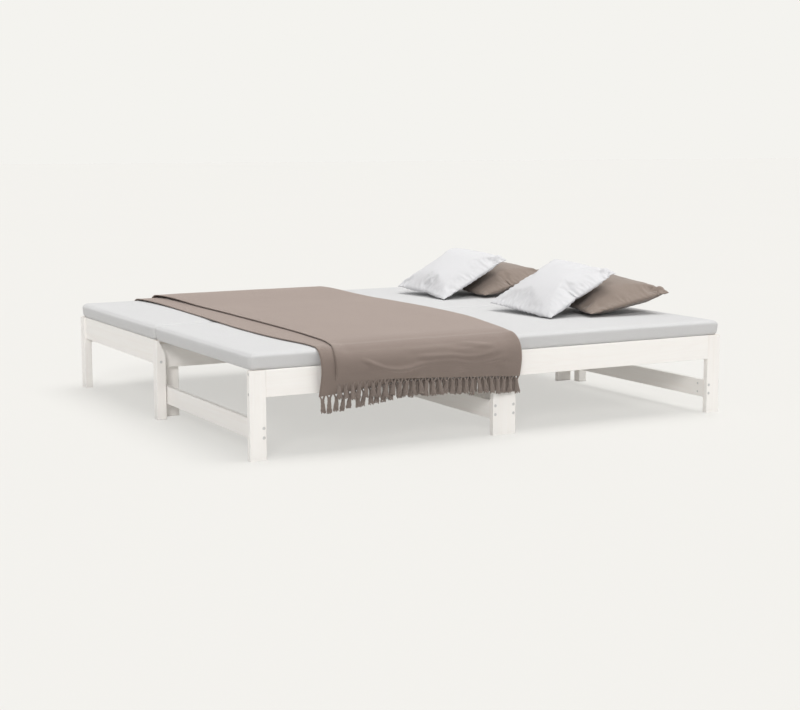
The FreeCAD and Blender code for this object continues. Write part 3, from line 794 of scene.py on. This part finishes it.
def tuft(mesh, x, y, hem, depth, length):
    """One tassel: yarns run from both sides into a knot, then twist and open out."""
    knot_z = hem - knot_drop * chance.uniform(*knot_drop_range)
    knot_x = x + chance.uniform(-knot_shift, knot_shift)
    foot_x = x + chance.uniform(-foot_shift, foot_shift)
    length *= chance.uniform(*length_range)
    twist = chance.uniform(*twist_range) * (1 if chance.uniform() < twist_left else -1)
    for number in range(yarns_in_tuft):
        begin = 2 * math.pi * number / yarns_in_tuft
        side = 1 if math.cos(begin) > 0 else -1
        spread = foot_spread + foot_spread_swing * chance.uniform(-1, 1)
        cut = length * chance.uniform(*cut_range)
        path, radii = [], []
        for step in range(yarn_steps):
            share = step / (yarn_steps - 1)
            z = hem + hem_overlap - (cut + hem_overlap) * share
            if z > knot_z:
                near = np.clip((hem - z) / (hem - knot_z), 0, 1)
                reach = root_reach * (1 - near) ** 1.3 * side + bundle_half * math.cos(begin)
                path.append((x + (knot_x - x) * near + reach, y + bundle_depth * math.sin(begin) * depth, z))
                radii.append(yarn_radius * (0.85 + 0.25 * near))
            else:
                fall = (knot_z - z) / (knot_z - hem + cut)
                angle = begin + twist * math.pi * fall * twist_turns
                open_out = tuft_half + (spread - tuft_half) * fall ** 0.9
                path.append((knot_x + (foot_x - knot_x) * fall + open_out * math.cos(angle),
                             y + tuft_flat * open_out * math.sin(angle) * depth, z))
                radii.append(yarn_radius * (1.05 - 0.12 * fall if step < yarn_steps - 1 else 0.6))
        yarn(mesh, path, radii)
    knot_path = []
    for step in range(knot_steps):
        angle = 2 * math.pi * step / knot_steps_in_turn
        knot_path.append((knot_x + knot_half * math.cos(angle), y + knot_depth * math.sin(angle) * depth,
                          knot_z + knot_height / 2 - knot_height * step / (knot_steps - 1)))
    yarn(mesh, knot_path, [yarn_radius * 0.95] * knot_steps)


def fringe(name, rows, body):
    """Rows of tassels in one piece: each row's X from and to, Y, hem and depth."""
    mesh = bmesh.new()
    for x_from, x_to, y, hem_line, depth in rows:
        count = int((x_to - x_from) / tuft_pitch)
        for number in range(count):
            x = x_from + (x_to - x_from) * (number + 0.5) / count
            hem = read_line(hem_line, x)
            tuft(mesh, x, y, hem, depth, tuft_length)
    piece = new_piece(name, mesh, shade_lifted_yarn)
    points = np.array([vert.co for vert in piece.data.vertices])
    set_cloth_place(piece.data, np.column_stack([points[:, 0] * 3, points[:, 2] * 3, points[:, 1]]))
    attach(piece, body)
    return piece


back_hem_line = ((-0.8, hem_back), (0.2, hem_back))
row_clear = 0.001
front_out = front_y - throw_stand_off + throw_hang_in
back_out = back_y + throw_stand_off - throw_hang_in
fringe_front = fringe("fringe_front", (
    (-0.752, 0.042, front_out + row_clear, lower_hem_line, 0.8),
    (-0.697, 0.049, front_out - throw_spacing - throw_hem_lift - row_clear, upper_hem_line, 1.0),
), "pull_out")
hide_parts("throw_fringe_front")
fringe_back = fringe("fringe_back", (
    (-0.726, 0.130, back_out - row_clear, back_hem_line, 0.8),
    (-0.640, 0.130, back_out + throw_spacing + row_clear, back_hem_line, 1.0),
), "fixed_frame")

# Four stuffed cushions in two pairs, each white one leaning on a taupe one.
# The covers are two squares of cotton sewn round the rim and filled,
# so their sides draw in between the tips and the seam puckers.
cushion_cut = (0.384, 0.410)
cushion_grid = (64, 68)
cushion_start = 0.036
cushion_size = (0.373, 0.398, 0.110)
cushion_roll = 4.5
crumple_height, crumple_reach, crumple_root, crumple_tip = 0.0056, 0.036, 0.005, 0.09
crumple_sharpness, crumple_beat, crumple_run = 2.4, 38, 12
square_diagonal = 1.414
tuck_height, tuck_within = 0.0045, 0.12
tuck_ridge_at, tuck_ridge_width = 0.050, 0.012
tuck_hollow_at, tuck_hollow_width = 0.074, 0.009
tuck_aside, tuck_run = 0.015, 0.045
pucker_height, pucker_pitch, pucker_reach, pucker_tip = 0.0024, 0.027, 0.022, 0.05
start_square, start_soft = 2.6, 0.75
seam_ridge = 0.0012
filling_steps = 22
filling = {
    "quality": 5, "mass": 0.15, "tension_stiffness": 30, "compression_stiffness": 20, "shear_stiffness": 15,
    "bending_stiffness": 0.3, "tension_damping": 25, "compression_damping": 25, "air_damping": 5,
    "use_pressure": True, "uniform_pressure_force": 4.0,
}
rest_clear, lean_clear = 0.0012, 0.0015
white_cotton = woven("white_cotton", (0.655, 0.655, 0.668, 1), (0.585, 0.585, 0.598, 1), 700.0, 0.0004,
                     Sheen_Weight=0.15, Sheen_Roughness=0.5, Specular_IOR_Level=0.2)
taupe_cotton = woven("taupe_cotton", (0.285, 0.232, 0.198, 1), (0.212, 0.172, 0.146, 1), 700.0, 0.0004,
                     Sheen_Weight=0.3, Sheen_Roughness=0.4, Specular_IOR_Level=0.2)


def crumples(data, shift):
    """Small folds that run in from the seam, and one tuck across the near upper tip."""
    places = np.zeros(len(data.vertices) * 3, np.float32)
    data.attributes["cloth_place"].data.foreach_get("vector", places)
    moves = []
    for vert, (x, y, z) in zip(data.vertices, places.reshape(-1, 3)):
        from_x, from_y = cushion_cut[0] / 2 - abs(x), cushion_cut[1] / 2 - abs(y)
        run, inside = (y, max(from_x, 0.0)) if from_x < from_y else (x, max(from_y, 0.0))
        ripple = noise.noise(Vector((run * crumple_beat, inside * crumple_run, shift + 3 * z)))
        ridge = 1 - crumple_sharpness * abs(ripple)
        fold = crumple_height * ridge * math.exp(-inside / crumple_reach) * (1 - math.exp(-inside / crumple_root))
        fold *= min(1.0, 0.25 + math.hypot(from_x, from_y) / crumple_tip)
        right, front = cushion_cut[0] / 2 - x, y + cushion_cut[1] / 2
        across, aside = (right + front) / square_diagonal, (right - front) / square_diagonal
        if z > 0 and across < tuck_within:
            tuck = (0.8 * math.exp(-((across - tuck_ridge_at) / tuck_ridge_width) ** 2)
                    - math.exp(-((across - tuck_hollow_at) / tuck_hollow_width) ** 2))
            fold += tuck_height * tuck * math.exp(-((aside + tuck_aside) / tuck_run) ** 2)
        moves.append(vert.normal * fold)
    return np.array(moves)


def filled_cover(name, shift):
    """Two squares sewn along the rim, eased into the seam in small puckers, and blown up by their filling."""
    across, along = cushion_grid
    points, rim, faces = [], [], []
    index = {}
    for face in (1, -1):
        for i in range(across + 1):
            for j in range(along + 1):
                on_rim = i in (0, across) or j in (0, along)
                if on_rim and face == -1:
                    index[(face, i, j)] = index[(1, i, j)]
                    continue
                index[(face, i, j)] = len(points)
                u, v = i / across * 2 - 1, j / along * 2 - 1
                x, y = u * cushion_cut[0] / 2, v * cushion_cut[1] / 2
                from_x = (1 - abs(u)) * cushion_cut[0] / 2
                from_y = (1 - abs(v)) * cushion_cut[1] / 2
                run, inside = (y, from_x) if from_x < from_y else (x, from_y)
                beat = run / pucker_pitch + 1.3 * noise.noise(Vector((x * 9, y * 9, shift)))
                pucker = pucker_height * math.sin(2 * math.pi * beat) * math.exp(-inside / pucker_reach)
                corner = min(1.0, math.hypot(from_x, from_y) / pucker_tip)
                lift = cushion_start * ((1 - abs(u) ** start_square) * (1 - abs(v) ** start_square)) ** start_soft
                points.append((x, y, face * lift + pucker * corner))
                if on_rim:
                    rim.append(len(points) - 1)
    for face in (1, -1):
        for i in range(across):
            for j in range(along):
                corners = ((i, j), (i + 1, j), (i + 1, j + 1), (i, j + 1))
                faces.append([index[(face, *spot)] for spot in corners[::face]])
    data = bpy.data.meshes.new(name)
    data.from_pydata(points, [], faces)
    data.shade_smooth()
    set_cloth_place(data, points)
    cover = bpy.data.objects.new(name, data)
    scene.collection.objects.link(cover)
    cloth = cover.modifiers.new("filling", "CLOTH")
    for setting, value in filling.items():
        setattr(cloth.settings, setting, value)
    cloth.settings.effector_weights.gravity = 0.0
    cloth.collision_settings.use_collision = False
    cloth.point_cache.frame_start = 1
    cloth.point_cache.frame_end = 30
    for step in range(1, filling_steps + 1):
        scene.frame_set(step)
    made_final(cover)
    scene.frame_set(1)
    shaped = np.array([vert.co for vert in cover.data.vertices])
    for number in rim:
        spot = shaped[number]
        spot[:2] *= 1 + seam_ridge / max(np.linalg.norm(spot[:2]), 0.05)
    cover.data.vertices.foreach_set("co", shaped.astype(np.float32).ravel())
    finer = cover.modifiers.new("finer", "SUBSURF")
    finer.levels = finer.render_levels = 1
    made_final(cover)
    shaped = np.array([vert.co for vert in cover.data.vertices])
    shaped -= (shaped.max(0) + shaped.min(0)) / 2
    shaped *= np.array(cushion_size) / np.ptp(shaped, axis=0)
    shaped += crumples(cover.data, shift)
    cover.data.vertices.foreach_set("co", shaped.astype(np.float32).ravel())
    return cover


def lay_cushion(cover, name, material, node, tilt, turn, under, body):
    """Leans a copy of a filled cover where its node lies, flattened where it touches what is under it."""
    cushion = bpy.data.objects.new(name, cover.data.copy())
    scene.collection.objects.link(cushion)
    cushion.data.materials.append(material)
    low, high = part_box(node)
    place = Matrix.Translation((low + high) / 2)
    for degrees, axis in ((turn, "Z"), (-tilt, "Y"), (cushion_roll, "X")):
        place = place @ Matrix.Rotation(math.radians(degrees), 4, axis)
    cushion.data.transform(place)
    points = np.array([vert.co for vert in cushion.data.vertices])
    for other in under:
        surface = BVHTree.FromObject(other, bpy.context.evaluated_depsgraph_get())
        for number, point in enumerate(points):
            spot = surface.ray_cast(Vector((point[0], point[1], 2.0)), Vector((0, 0, -1)))[0]
            if spot is not None and point[2] < spot.z + lean_clear:
                points[number, 2] = spot.z + lean_clear
    points[:, 2] = np.maximum(points[:, 2], rest_z + rest_clear)
    cushion.data.vertices.foreach_set("co", points.astype(np.float32).ravel())
    cushion.data.update()
    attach(cushion, body)
    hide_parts(node)
    return cushion


first_cover = filled_cover("first_cover", 1.0)
second_cover = filled_cover("second_cover", 5.0)
near_taupe = lay_cushion(first_cover, "cushion_taupe_near", taupe_cotton, "cushion_near_taupe", 11.5, -5,
                         [], "near_cushions")
lay_cushion(second_cover, "cushion_white_near", white_cotton, "cushion_near_white", 26.5, 2.2,
            [near_taupe], "near_cushions")
far_taupe = lay_cushion(second_cover, "cushion_taupe_far", taupe_cotton, "cushion_far_taupe", 12, 3,
                        [], "far_cushions")
lay_cushion(first_cover, "cushion_white_far", white_cotton, "cushion_far_white", 26.5, 2.2,
            [far_taupe], "far_cushions")
bpy.data.objects.remove(first_cover)
bpy.data.objects.remove(second_cover)

# A plain pale studio floor that runs out to the horizon, with an even backdrop beyond it.
# Its own colour takes the bed's shadow, and a share of the backdrop's tone is added where it is seen.
floor_colour = (0.648, 0.639, 0.618, 1)
floor_cloud_colour = (0.658, 0.649, 0.628, 1)
backdrop_colour = (0.905, 0.896, 0.862, 1)
backdrop_share = 0.57
floor_reach = 60.0
floor_mesh = bmesh.new()
bmesh.ops.create_grid(floor_mesh, x_segments=2, y_segments=2, size=floor_reach)
floor_material, floor_tree, floor_shader = new_material("studio_floor", Roughness=1.0, Specular_IOR_Level=0.0)
floor_where = add_node(floor_tree, "ShaderNodeTexCoord").outputs["Object"]
floor_cloud = clouded(floor_tree, Vector=floor_where, Scale=0.5, Detail=1.0)
feed(floor_tree, floor_shader, Base_Color=tinted(floor_tree, floor_cloud, floor_colour, floor_cloud_colour))


def seen_directly(tree):
    """1 where a surface is seen by the camera, in metal or through glass, and 0 where it only gives light."""
    rays = add_node(tree, "ShaderNodeLightPath").outputs
    seen = combined(tree, "MAXIMUM", rays["Is Camera Ray"], rays["Is Glossy Ray"])
    return combined(tree, "MAXIMUM", seen, rays["Is Transmission Ray"])


floor_share = combined(floor_tree, "MULTIPLY", seen_directly(floor_tree), backdrop_share)
floor_glow = feed(floor_tree, add_node(floor_tree, "ShaderNodeEmission"), Color=backdrop_colour, Strength=1.0)
floor_mix = feed(floor_tree, add_node(floor_tree, "ShaderNodeMixShader"), i0=floor_share,
                 i1=floor_shader.outputs[0], i2=floor_glow.outputs[0])
floor_tree.links.new(floor_mix.outputs[0], floor_tree.nodes["Material Output"].inputs["Surface"])
floor = new_piece("studio_floor", floor_mesh, floor_material)

# Even studio light: a pale surround, a broad lamp almost overhead and a little to the right,
# a smaller one from the front left that lights the bed's near sides,
# and a low one under the bed for the light that a pale floor throws back up.
surround_colour, surround_strength = (0.985, 0.99, 1.0, 1), 0.49
world = bpy.data.worlds.new("daylight")
scene.world = world
world.use_nodes = True
sky = world.node_tree
sky.nodes.clear()
surround = feed(sky, add_node(sky, "ShaderNodeBackground"), Color=surround_colour, Strength=surround_strength)
backdrop = feed(sky, add_node(sky, "ShaderNodeBackground"), Color=backdrop_colour, Strength=1.0)
either = feed(sky, add_node(sky, "ShaderNodeMixShader"), i0=seen_directly(sky),
              i1=surround.outputs[0], i2=backdrop.outputs[0])
feed(sky, add_node(sky, "ShaderNodeOutputWorld"), Surface=either.outputs[0])
for name, power, spread, colour, way in (
    ("window_light", 2.32, 48, (1.0, 0.99, 0.97), (-0.25, 0.02, -0.97)),
    ("side_light", 1.14, 16, (1.0, 0.985, 0.97), (0.50, 0.72, -0.48)),
):
    sun = bpy.data.lights.new(name, "SUN")
    sun.energy = power
    sun.angle = math.radians(spread)
    sun.color = colour
    sun_lamp = bpy.data.objects.new(name, sun)
    sun_lamp.rotation_euler = Vector(way).to_track_quat("-Z", "Y").to_euler()
    scene.collection.objects.link(sun_lamp)
low_light = bpy.data.lights.new("low_light", "AREA")
low_light.shape = "RECTANGLE"
low_light.size, low_light.size_y = 2.0, 1.7
low_light.energy = 2.3
low_light.color = (1.0, 0.97, 0.93)
low_lamp = bpy.data.objects.new("low_light", low_light)
low_lamp.location = (0.0, 0.0, 0.004)
low_lamp.rotation_euler = (math.pi, 0.0, 0.0)
low_lamp.visible_camera = False
scene.collection.objects.link(low_lamp)

# The camera stands about a metre high off the near left corner, on a long lens,
# and looks slightly down across the drawn-out bed.
camera = bpy.data.cameras.new("studio_camera")
camera.sensor_width = 36.0
camera.lens = 69.646
camera.clip_end = 200.0
camera_stand = bpy.data.objects.new("studio_camera", camera)
camera_stand.location = (-3.00736, -5.56196, 1.06370)
camera_stand.rotation_euler = Vector((0.47961, 0.86651, -0.13834)).to_track_quat("-Z", "Y").to_euler()
scene.collection.objects.link(camera_stand)
scene.camera = camera_stand
